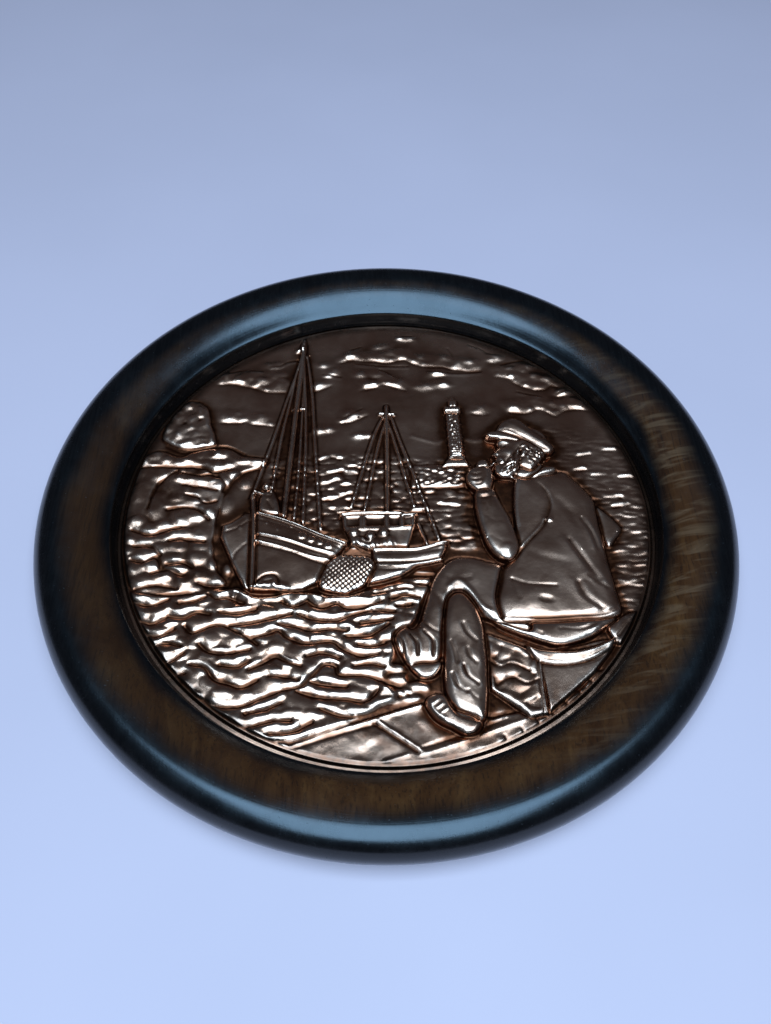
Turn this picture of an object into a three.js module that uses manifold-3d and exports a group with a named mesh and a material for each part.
// A round wooden wall plaque: a turned wood rim that holds an embossed copper picture.
// The sheet lies in a rebate behind the rim's lip, under a packing disc and a back board held by brads.
// A D ring in a riveted strap hangs the plaque. Millimetres, +Z out of the face, +Y to the picture's top.
// The origin is the centre of the flat back.
import * as THREE from 'three';
import Module from 'manifold-3d';
import { mergeVertices } from 'three/addons/utils/BufferGeometryUtils.js';

const wasm = await Module();
wasm.setup();

// ---- rim -------------------------------------------------------------------------------------
const RIM_RADIUS = 160;           // outermost
const RIM_WIDTH = 34.8;           // outermost to the sight edge, the opening that shows the picture
const RIM_HEIGHT = 25;            // back plane to crest
const ROLL_RADIUS = 11;           // the rounded outer edge
const ROLL_UNDER = 58;            // degrees that the roll turns in below its widest
const FOOT_INSET = 9;             // outermost to the edge of the flat back
const WALL_LEAN = 2.8;            // how far the inner wall's front edge lies outside the sight edge
const LIP_DROP = 9;               // crest to the front edge of the inner wall
const LIP_ROUND = 1.2;            // softened front edge of the inner wall
const REBATE_COVER = 4.8;         // sight edge to the rebate's wall

// ---- what the rebate holds -------------------------------------------------------------------
const SHEET = 0.6;                // copper thickness
const PACKING = 1;
const BOARD = 2.5;
const SEAT_GAP = 0.3;             // between pieces that rest on each other
const REBATE_GAP = 0.5;           // sheet edge to rebate wall

// ---- picture field ---------------------------------------------------------------------------
const FIELD_MARGIN = 2.6;         // sight edge to the edge of the raised field
const FIELD_RISE = 1.8;           // above the flange
const FIELD_SLOPE = 0.9;          // width of the step up to the field
const RELIEF_MARGIN = 2.2;        // plain border of the field
const RELIEF_LIMIT = 6;           // no shape rises this far above the field
const DRAWN_RADIUS = 122.6;       // radius of the field for which the picture's outlines are drawn
const SPAR_SLOPE = 0.3;           // a spar's sloping edge as a share of its width
const SWELL_ROWS = 5;
const SWELL_ROW_PITCH = 12;
const SWELL_PITCH = 15;           // between swells in a row
const SWELL_TOP_Y = -54;          // first row
const SWELL_BORDER = 12;          // from the rows' ends to the field's edge
const SWELL_RIGHT = 2;            // right end of the first row
const SWELL_RECEDE = 7;           // how much further left each next row ends, along the quay
const SWELL_LENGTH = 17.3;
const SWELL_DEPTH = 6.6;
const SWELL_HEIGHT = 1.2;
const SWELL_EDGE = 0.9;

// ---- fastenings ------------------------------------------------------------------------------
const BRADS = 8;
const BRAD_WIRE = 1.3;
const BRAD_LENGTH = 13;
const BRAD_IN_WOOD = 6;
const BRAD_HEAD = 2.2;
const BRAD_HEAD_HEIGHT = 0.8;
const BRAD_POINT = 1.5;
const BRAD_HOLE_GAP = 0.3;
const STRAP_WIDTH = 12;
const STRAP_LENGTH = 20;
const STRAP = 0.45;
const RING_WIRE = 1.2;
const RING_WIDTH = 24;
const RING_REACH = 17;
const RING_GAP = 0.3;             // ring wire to the strap's eye
const RING_SPLIT = 0.3;           // between the wire's ends
const EYE_END = -195;             // degrees, where the strap's eye stops
const HANGER_INSET = 34;          // rebate wall to the ring's axis
const HANGER_CLEAR = 0.3;         // strap's eye to the back plane
const RIVET_SHANK = 2.4;
const RIVET_HEAD = 4.6;
const RIVET_HEAD_HEIGHT = 0.8;
const RIVET_TAIL = 4;
const RIVET_TAIL_HEIGHT = 0.5;
const RIVET_BELOW = 6;            // first rivet below the ring axis
const RIVET_PITCH = 6;
const RIVET_HOLE_GAP = 0.3;
const TAIL_ROOM = 0.6;

// ---- radii and levels that follow --------------------------------------------------------------
const FOOT_RADIUS = RIM_RADIUS - FOOT_INSET;
const SIGHT_RADIUS = RIM_RADIUS - RIM_WIDTH;
const LIP_TOP_RADIUS = SIGHT_RADIUS + WALL_LEAN;
const LIP_TOP_Z = RIM_HEIGHT - LIP_DROP;
const REBATE_RADIUS = SIGHT_RADIUS + REBATE_COVER;
const SHEET_RADIUS = REBATE_RADIUS - REBATE_GAP;
const FIELD_RADIUS = SIGHT_RADIUS - FIELD_MARGIN;
const PICTURE_SCALE = FIELD_RADIUS / DRAWN_RADIUS;
const LOOP_INNER = RING_WIRE / 2 + RING_GAP;
const LOOP_OUTER = LOOP_INNER + STRAP;
const RING_Z = HANGER_CLEAR + LOOP_OUTER;
const HANGER_Y = REBATE_RADIUS - HANGER_INSET;
const BOARD_BACK_Z = RING_Z + LOOP_OUTER + SEAT_GAP;
const BOARD_TOP_Z = BOARD_BACK_Z + BOARD;
const PACKING_BACK_Z = BOARD_TOP_Z + SEAT_GAP;
const PACKING_TOP_Z = PACKING_BACK_Z + PACKING;
const FLANGE_BACK_Z = PACKING_TOP_Z + SEAT_GAP;
const FLANGE_Z = FLANGE_BACK_Z + SHEET;
const SHOULDER_Z = FLANGE_Z + SEAT_GAP;
const FIELD_Z = FLANGE_Z + FIELD_RISE;
const BRAD_Z = BOARD_BACK_Z - SEAT_GAP - BRAD_HEAD / 2;

// ---- facets --------------------------------------------------------------------------------------
const SEGMENTS = 72;              // round the rim and the discs
const RIVET_SEGMENTS = 16;
const BRAD_SEGMENTS = 8;

const WOOD = new THREE.MeshStandardMaterial({ color: 0x3a2313, roughness: 0.38, metalness: 0 });
const COPPER = new THREE.MeshStandardMaterial({ color: 0xb87a58, roughness: 0.3, metalness: 1 });
const CARD = new THREE.MeshStandardMaterial({ color: 0x9a8f7a, roughness: 0.95, metalness: 0 });
const HARDBOARD = new THREE.MeshStandardMaterial({ color: 0x6b4a2e, roughness: 0.8, metalness: 0 });
const STEEL = new THREE.MeshStandardMaterial({ color: 0x8d8d8a, roughness: 0.4, metalness: 1 });
const BRASS = new THREE.MeshStandardMaterial({ color: 0xb8923f, roughness: 0.35, metalness: 1 });

// ---- helpers -----------------------------------------------------------------------------------
const radians = (degrees) => (degrees * Math.PI) / 180;

// Points on an arc in the section plane, ends included.
function arc(x, y, radius, from, to, steps) {
  const points = [];
  for (let i = 0; i <= steps; i += 1) {
    const a = radians(from + ((to - from) * i) / steps);
    points.push([x + radius * Math.cos(a), y + radius * Math.sin(a)]);
  }
  return points;
}

// The geometry with its shared vertices merged, so that it is closed before it is placed.
function closed(geometry) {
  const bare = geometry.clone();
  bare.deleteAttribute('normal');
  bare.deleteAttribute('uv');
  return mergeVertices(bare, 1e-4);
}

// A section of [radius, z] pairs, counterclockwise, turned about the Z axis.
function turned(section, segments) {
  const points = section.map(([r, z]) => new THREE.Vector2(r, z));
  return closed(new THREE.LatheGeometry(points, segments)).rotateX(Math.PI / 2);
}

// A closed section, turned: the loop ends where it starts.
function turnedRing(section, segments) {
  return turned([...section, section[0]], segments);
}

// A round bar from z = low to z = high.
function roundBar(radius, low, high, segments) {
  return turned([[0, low], [radius, low], [radius, high], [0, high]], segments);
}

// A closed geometry as a manifold-3d solid; triangles that shrank to a line on the axis are dropped.
function toSolid(geometry) {
  const merged = geometry.index ? geometry : closed(geometry);
  const index = merged.index.array;
  const triangles = [];
  for (let i = 0; i < index.length; i += 3) {
    const [a, b, c] = [index[i], index[i + 1], index[i + 2]];
    if (a !== b && b !== c && c !== a) triangles.push(a, b, c);
  }
  return new wasm.Manifold(new wasm.Mesh({
    numProp: 3,
    vertProperties: new Float32Array(merged.attributes.position.array),
    triVerts: new Uint32Array(triangles),
  }));
}

function toGeometry(solid) {
  const mesh = solid.getMesh();
  const geometry = new THREE.BufferGeometry();
  geometry.setAttribute('position', new THREE.BufferAttribute(mesh.vertProperties, mesh.numProp));
  geometry.setIndex(new THREE.BufferAttribute(mesh.triVerts, 1));
  return geometry;
}

function piece(name, geometry, material) {
  const faceted = geometry.index ? geometry.toNonIndexed() : geometry;
  faceted.computeVertexNormals();
  const mesh = new THREE.Mesh(faceted, material);
  mesh.name = name;
  return mesh;
}

// ---- rim -------------------------------------------------------------------------------------
// The front: from the inner wall's softened edge, one arc up to the crest, where the roll takes over.
function frontCurve() {
  const crest = RIM_RADIUS - ROLL_RADIUS;
  const run = crest - LIP_TOP_RADIUS;
  const rise = RIM_HEIGHT - LIP_TOP_Z;
  const sweep = (run * run + rise * rise) / (2 * rise);
  const from = 90 + (Math.asin(run / sweep) * 180) / Math.PI;
  return arc(crest, RIM_HEIGHT - sweep, sweep, 90, from, 5);
}

function rimSection() {
  const crest = RIM_RADIUS - ROLL_RADIUS;
  const roll = arc(crest, RIM_HEIGHT - ROLL_RADIUS, ROLL_RADIUS, -ROLL_UNDER, 90, 8);
  const front = frontCurve().slice(1, -1);
  const edge = arc(LIP_TOP_RADIUS, LIP_TOP_Z - LIP_ROUND, LIP_ROUND, 110, 200, 2);
  return [
    [REBATE_RADIUS, 0],
    [FOOT_RADIUS, 0],
    ...roll,
    ...front,
    ...edge,
    [SIGHT_RADIUS, SHOULDER_Z],
    [REBATE_RADIUS, SHOULDER_Z],
  ];
}

function radialPlace(geometry, angle) {
  return geometry.rotateY(Math.PI / 2).translate(0, 0, BRAD_Z).rotateZ(angle);
}

const bradAngle = (i) => radians((360 * (i + 0.5)) / BRADS);

function woodRim() {
  let rim = toSolid(turnedRing(rimSection(), SEGMENTS));
  const radius = BRAD_WIRE / 2 + BRAD_HOLE_GAP;
  const end = REBATE_RADIUS + BRAD_IN_WOOD + BRAD_HOLE_GAP;
  for (let i = 0; i < BRADS; i += 1) {
    const hole = roundBar(radius, REBATE_RADIUS - REBATE_GAP, end, BRAD_SEGMENTS);
    rim = rim.subtract(toSolid(radialPlace(hole, bradAngle(i))));
  }
  return piece('wood_rim', toGeometry(rim), WOOD);
}

// ---- copper picture ----------------------------------------------------------------------------
// Raised shapes of the picture: [x, y] outlines through which a smooth closed curve runs, unless
// corners is true, and the height in mm to which the sheet is pushed up. A shape that is high and not
// narrow is hollow from behind.
const HILLS = [
  { height: 1.6, outline: [[-119, 8], [-114, 30], [-98, 35], [-76, 34], [-64, 22], [-68, 4], [-80, -8],
    [-84, -30], [-98, -40], [-114, -34]] },
  { height: 1.8, outline: [[-111, 44], [-104, 62], [-95, 67], [-88, 56], [-84, 44], [-96, 38]] },
];
const CLOUDS = [
  { height: 0.8, outline: [[-86, 84], [-70, 92], [-52, 88], [-54, 78], [-72, 80]] },
  { height: 0.7, outline: [[-18, 99], [6, 106], [40, 104], [50, 92], [24, 93], [0, 97]] },
  { height: 0.7, outline: [[-14, 86], [-4, 92], [12, 80], [6, 76], [-10, 80]] },
  { height: 0.9, outline: [[60, 87], [74, 92], [89, 80], [80, 77], [68, 81]] },
];
const BOATS = [
  { height: 2.4, corners: true, outline: [[-60, -2], [-40, -8], [-19, -19], [-23, -27], [-31, -40],
    [-60, -43], [-67, -41], [-77, -18], [-76, -13], [-66, -4]] },
  { height: 2.2, corners: true, outline: [[-8, -25], [0, -22], [12, -23], [27, -20], [22, -31], [0, -34],
    [-8, -33]] },
  { height: 1.8, corners: true, outline: [[-22, -3], [8, -3], [13, -5], [9, -24], [-18, -20]] },
  { height: 1.8, outline: [[-26, -28], [-12, -25], [-5, -31], [-10, -42], [-20, -45], [-31, -42]] },
];
const LIGHTHOUSE = [
  { height: 2, corners: true, outline: [[28, 26], [30.5, 32], [31, 66], [38.5, 66], [39, 32], [40, 26]] },
  { height: 1.4, corners: true, outline: [[13, 12], [13, 24], [42, 25], [42, 12]] },
];
// The head in its cap is a plain oval: its centre, half sizes and tilt in degrees.
const HEAD = { x: 66.5, y: 33, halfDepth: 13.5, halfHeight: 17.5, tilt: -8 };
const OVAL_POINTS = 10;

function oval({ x, y, halfDepth, halfHeight, tilt }) {
  const turn = radians(tilt);
  return Array.from({ length: OVAL_POINTS }, (_, i) => {
    const a = (i * 2 * Math.PI) / OVAL_POINTS;
    const point = new THREE.Vector2(halfDepth * Math.cos(a), halfHeight * Math.sin(a));
    point.rotateAround(new THREE.Vector2(0, 0), turn);
    return [x + point.x, y + point.y];
  });
}

const FISHERMAN = [
  { height: 3, outline: [[48, -60], [47, -50], [51, -36], [56, -30], [60, 4], [66, 14], [82, 18], [92, 10],
    [97.5, -5], [99, -40], [100, -59], [75, -62.5]] },
  { height: 2.8, outline: oval(HEAD) },
  { height: 3.4, outline: [[42, 6], [41, -6], [44, -20], [51, -30], [58, -27], [60, -15], [53, 8]] },
  { height: 3.2, outline: [[38, 14], [42, 22], [50, 20], [50, 11], [43, 8]] },
];
const LEGS = [
  { height: 2.4, outline: [[50, -34], [30, -29], [20, -41], [12, -62], [5, -68], [8, -80], [20, -78],
    [30, -60], [48, -58]] },
  { height: 3.2, outline: [[23, -56], [30, -46], [38, -57], [39.5, -74], [37, -96], [32, -107], [23, -100],
    [21, -80]] },
  { height: 2.6, narrow: true, outline: [[14, -93], [14, -101], [22, -109], [33, -109], [30, -98],
    [20, -96]] },
  { height: 2.8, narrow: true, outline: [[40, -60], [60, -71], [80, -72], [94, -66], [98, -60], [70, -63],
    [44, -57]] },
];
const QUAY = [
  { height: 1.6, corners: true, outline: [[58, -74], [94, -72], [88, -84], [62, -104], [40, -92],
    [40, -70]] },
  { height: 1, corners: true, outline: [[-44, -112], [12, -97], [60, -103], [45, -111], [0, -120],
    [-25, -118]] },
];
// Narrow bars: masts and the ships' stays, as [x0, y0, x1, y1, width, height].
const SPARS = [
  [-63.5, 8, -60.8, -42, 3.4, 2.9],
  [-41.5, 108, -48.5, -2, 2.6, 1.6],
  [1.5, 62, 0.5, -4, 2.2, 1.4],
  [-42, 100, -64, 6, 1.4, 0.9],
  [-41, 100, -32, -12, 1.4, 0.9],
  [1, 57, -16.5, 0, 1.4, 0.9],
  [2, 57, 23.5, -20, 1.4, 0.9],
];
const PICTURE = [...HILLS, ...CLOUDS, ...BOATS, ...LIGHTHOUSE, ...FISHERMAN, ...LEGS, ...QUAY];
const BOSS_EDGE = 1.2;            // how far a raised shape's edge slopes in
const HOLLOW_INSET = 1;           // wall between a raised shape's foot and its hollow
const HOLLOW_FROM = 1.2;          // lowest height that is hollow
const BOSS_TOP = 0.55;            // share of its height at which the slope starts
const BOSS_LEAST_SLOPE = 0.2;
const CURVE_STEPS = 3;            // facets of a smooth outline between two of its points
const CUT_OVER = 1;               // how far a cutting solid reaches past what it cuts

const onField = ([x, y]) => new THREE.Vector3(x, y, 0).multiplyScalar(PICTURE_SCALE);

function outlineShape({ outline, corners }) {
  const points = outline.map(onField);
  if (corners) return new THREE.Shape(points);
  const loop = new THREE.CatmullRomCurve3(points, true);
  return new THREE.Shape(loop.getPoints(outline.length * CURVE_STEPS).slice(0, -1));
}

// A raised shape as a solid: a straight foot, inset from the outline, then a shoulder that slopes in.
function boss(shape, bottom, top, edge, inset = 0) {
  const slope = Math.max(BOSS_LEAST_SLOPE, (top - bottom) * (1 - BOSS_TOP));
  const settings = {
    depth: top - bottom - slope,
    bevelEnabled: true,
    bevelThickness: slope,
    bevelSize: edge,
    bevelOffset: -edge - inset,
    bevelSegments: 1,
    curveSegments: 1,
  };
  return toSolid(new THREE.ExtrudeGeometry(shape, settings).translate(0, 0, bottom));
}

function sparShape([x0, y0, x1, y1, width]) {
  const start = onField([x0, y0]);
  const end = onField([x1, y1]);
  const along = end.clone().sub(start).normalize();
  const side = new THREE.Vector3(-along.y, along.x, 0).multiplyScalar(width / 2);
  return new THREE.Shape([
    start.clone().add(side), start.clone().sub(side), end.clone().sub(side), end.clone().add(side),
  ]);
}

// One swell: a lens between two rounded sides.
function swellShape(x, y) {
  const left = onField([x - SWELL_LENGTH / 2, y]);
  const right = onField([x + SWELL_LENGTH / 2, y]);
  const far = onField([x, y + SWELL_DEPTH]);
  const near = onField([x, y - SWELL_DEPTH]);
  const shape = new THREE.Shape();
  shape.moveTo(left.x, left.y);
  shape.quadraticCurveTo(far.x, far.y, right.x, right.y);
  shape.quadraticCurveTo(near.x, near.y, left.x, left.y);
  return new THREE.Shape(shape.getPoints(4).slice(0, -1));
}

// Rows of swells from the field's left border to the quay, every other row shifted by half a swell.
function swells() {
  const shapes = [];
  for (let row = 0; row < SWELL_ROWS; row += 1) {
    const y = SWELL_TOP_Y - row * SWELL_ROW_PITCH;
    const reach = Math.sqrt((DRAWN_RADIUS - SWELL_BORDER) ** 2 - y * y);
    const right = Math.min(reach, SWELL_RIGHT - row * SWELL_RECEDE);
    const shift = ((row % 2) * SWELL_PITCH) / 2;
    for (let x = right - SWELL_PITCH / 2; x > SWELL_PITCH / 2 - reach; x -= SWELL_PITCH) {
      shapes.push(swellShape(x - shift, y));
    }
  }
  return shapes;
}

function sheetBlank() {
  const back = FIELD_Z - SHEET;
  return toSolid(turned([
    [0, back],
    [FIELD_RADIUS - SHEET, back],
    [FIELD_RADIUS + FIELD_SLOPE - SHEET, FLANGE_BACK_Z],
    [SHEET_RADIUS, FLANGE_BACK_Z],
    [SHEET_RADIUS, FLANGE_Z],
    [FIELD_RADIUS + FIELD_SLOPE, FLANGE_Z],
    [FIELD_RADIUS, FIELD_Z],
    [0, FIELD_Z],
  ], SEGMENTS));
}

function copperRelief() {
  const back = FIELD_Z - SHEET;
  const raised = [];
  const hollows = [];
  PICTURE.forEach((item) => {
    const shape = outlineShape(item);
    const top = FIELD_Z + item.height;
    raised.push(boss(shape, back, top, BOSS_EDGE));
    if (item.height >= HOLLOW_FROM && !item.narrow) {
      hollows.push(boss(shape, back - CUT_OVER, top - SHEET, BOSS_EDGE, HOLLOW_INSET));
    }
  });
  SPARS.forEach((spar) => {
    const [width, height] = spar.slice(4);
    raised.push(boss(sparShape(spar), back, FIELD_Z + height, width * SPAR_SLOPE));
  });
  swells().forEach((shape) => raised.push(boss(shape, back, FIELD_Z + SWELL_HEIGHT, SWELL_EDGE)));
  let sheet = sheetBlank();
  const frame = toSolid(roundBar(FIELD_RADIUS - RELIEF_MARGIN, back, FIELD_Z + RELIEF_LIMIT, SEGMENTS));
  sheet = sheet.add(wasm.Manifold.union(raised).intersect(frame));
  const hollowRadius = FIELD_RADIUS - RELIEF_MARGIN - SHEET;
  const inner = toSolid(roundBar(hollowRadius, back - CUT_OVER, FIELD_Z + RELIEF_LIMIT, SEGMENTS));
  sheet = sheet.subtract(wasm.Manifold.union(hollows).intersect(inner));
  return piece('copper_relief', toGeometry(sheet), COPPER);
}

// ---- behind the picture --------------------------------------------------------------------------
const rivetYs = [HANGER_Y - RIVET_BELOW, HANGER_Y - RIVET_BELOW - RIVET_PITCH];

// A solid with an upright round hole at each rivet.
function drilled(solid, radius) {
  const holes = rivetYs.map((y) => toSolid(roundBar(radius, 0, FLANGE_Z, RIVET_SEGMENTS).translate(0, y, 0)));
  return toGeometry(solid.subtract(wasm.Manifold.union(holes)));
}

function packingDisc() {
  const blank = toSolid(roundBar(SHEET_RADIUS, PACKING_BACK_Z, PACKING_TOP_Z, SEGMENTS));
  return piece('packing_disc', drilled(blank, RIVET_TAIL / 2 + TAIL_ROOM), CARD);
}

function backBoard() {
  const blank = toSolid(roundBar(SHEET_RADIUS, BOARD_BACK_Z, BOARD_TOP_Z, SEGMENTS));
  return piece('back_board', drilled(blank, RIVET_SHANK / 2 + RIVET_HOLE_GAP), HARDBOARD);
}

function brad(i) {
  const head = REBATE_RADIUS + BRAD_IN_WOOD - BRAD_LENGTH;
  const pin = turned([
    [0, head],
    [BRAD_HEAD / 2, head],
    [BRAD_HEAD / 2, head + BRAD_HEAD_HEIGHT],
    [BRAD_WIRE / 2, head + BRAD_HEAD_HEIGHT],
    [BRAD_WIRE / 2, head + BRAD_LENGTH - BRAD_POINT],
    [0, head + BRAD_LENGTH],
  ], BRAD_SEGMENTS);
  return piece(`board_brad_${i + 1}`, radialPlace(pin, bradAngle(i)), STEEL);
}

// ---- hanger --------------------------------------------------------------------------------------
// The strap's section in the YZ plane: a flat leaf on the board, rolled into an eye round the ring.
function hangerStrap() {
  const top = RING_Z + LOOP_OUTER;
  const end = HANGER_Y - STRAP_LENGTH;
  const section = [
    [end, top],
    [end, top - STRAP],
    ...arc(HANGER_Y, RING_Z, LOOP_INNER, 90, EYE_END, 12),
    ...arc(HANGER_Y, RING_Z, LOOP_OUTER, EYE_END, 90, 12),
  ];
  const shape = new THREE.Shape(section.map(([y, z]) => new THREE.Vector2(y, z)));
  const bar = new THREE.ExtrudeGeometry(shape, { depth: STRAP_WIDTH, bevelEnabled: false });
  const yzx = new THREE.Matrix4().makeBasis(
    new THREE.Vector3(0, 1, 0), new THREE.Vector3(0, 0, 1), new THREE.Vector3(1, 0, 0),
  );
  bar.translate(0, 0, -STRAP_WIDTH / 2).applyMatrix4(yzx);
  return piece('hanger_strap', drilled(toSolid(bar), RIVET_SHANK / 2 + RIVET_HOLE_GAP), BRASS);
}

// Half of the D ring's centre line, as shares of its half width and of its reach.
const RING_SIDE = [[0.35, 0], [0.7, 0], [0.93, 0.06], [1, 0.24], [0.88, 0.56], [0.5, 0.88]];

// The ring's ends meet in the eye, in the middle of its straight side.
function hangerRing() {
  const half = RING_WIDTH / 2;
  const side = [[RING_SPLIT / 2, 0], ...RING_SIDE.map(([across, out]) => [across * half, out * RING_REACH])];
  const mirrored = side.map(([x, y]) => [-x, y]).reverse();
  const loop = [...side, [0, RING_REACH], ...mirrored];
  const path = new THREE.CatmullRomCurve3(
    loop.map(([x, y]) => new THREE.Vector3(x, HANGER_Y + y, RING_Z)),
  );
  const wire = new THREE.Shape().absarc(0, 0, RING_WIRE / 2, 0, Math.PI * 2);
  const settings = { steps: 48, curveSegments: 4, extrudePath: path, bevelEnabled: false };
  return piece('hanger_ring', new THREE.ExtrudeGeometry(wire, settings), BRASS);
}

function rivet(y, i) {
  const leafBack = RING_Z + LOOP_INNER;
  const headTop = leafBack - SEAT_GAP;
  const tail = BOARD_TOP_Z + SEAT_GAP;
  const pin = turned([
    [0, headTop - RIVET_HEAD_HEIGHT],
    [RIVET_HEAD / 2 - RIVET_HEAD_HEIGHT / 2, headTop - RIVET_HEAD_HEIGHT],
    [RIVET_HEAD / 2, headTop - RIVET_HEAD_HEIGHT / 2],
    [RIVET_HEAD / 2, headTop],
    [RIVET_SHANK / 2, headTop],
    [RIVET_SHANK / 2, tail],
    [RIVET_TAIL / 2, tail],
    [RIVET_TAIL / 2, tail + RIVET_TAIL_HEIGHT],
    [0, tail + RIVET_TAIL_HEIGHT],
  ], RIVET_SEGMENTS);
  return piece(`hanger_rivet_${i + 1}`, pin.translate(0, y, 0), BRASS);
}

const plaque = new THREE.Group();
plaque.add(woodRim(), copperRelief(), packingDisc(), backBoard());
for (let i = 0; i < BRADS; i += 1) plaque.add(brad(i));
plaque.add(hangerStrap(), hangerRing(), ...rivetYs.map(rivet));
export default plaque;
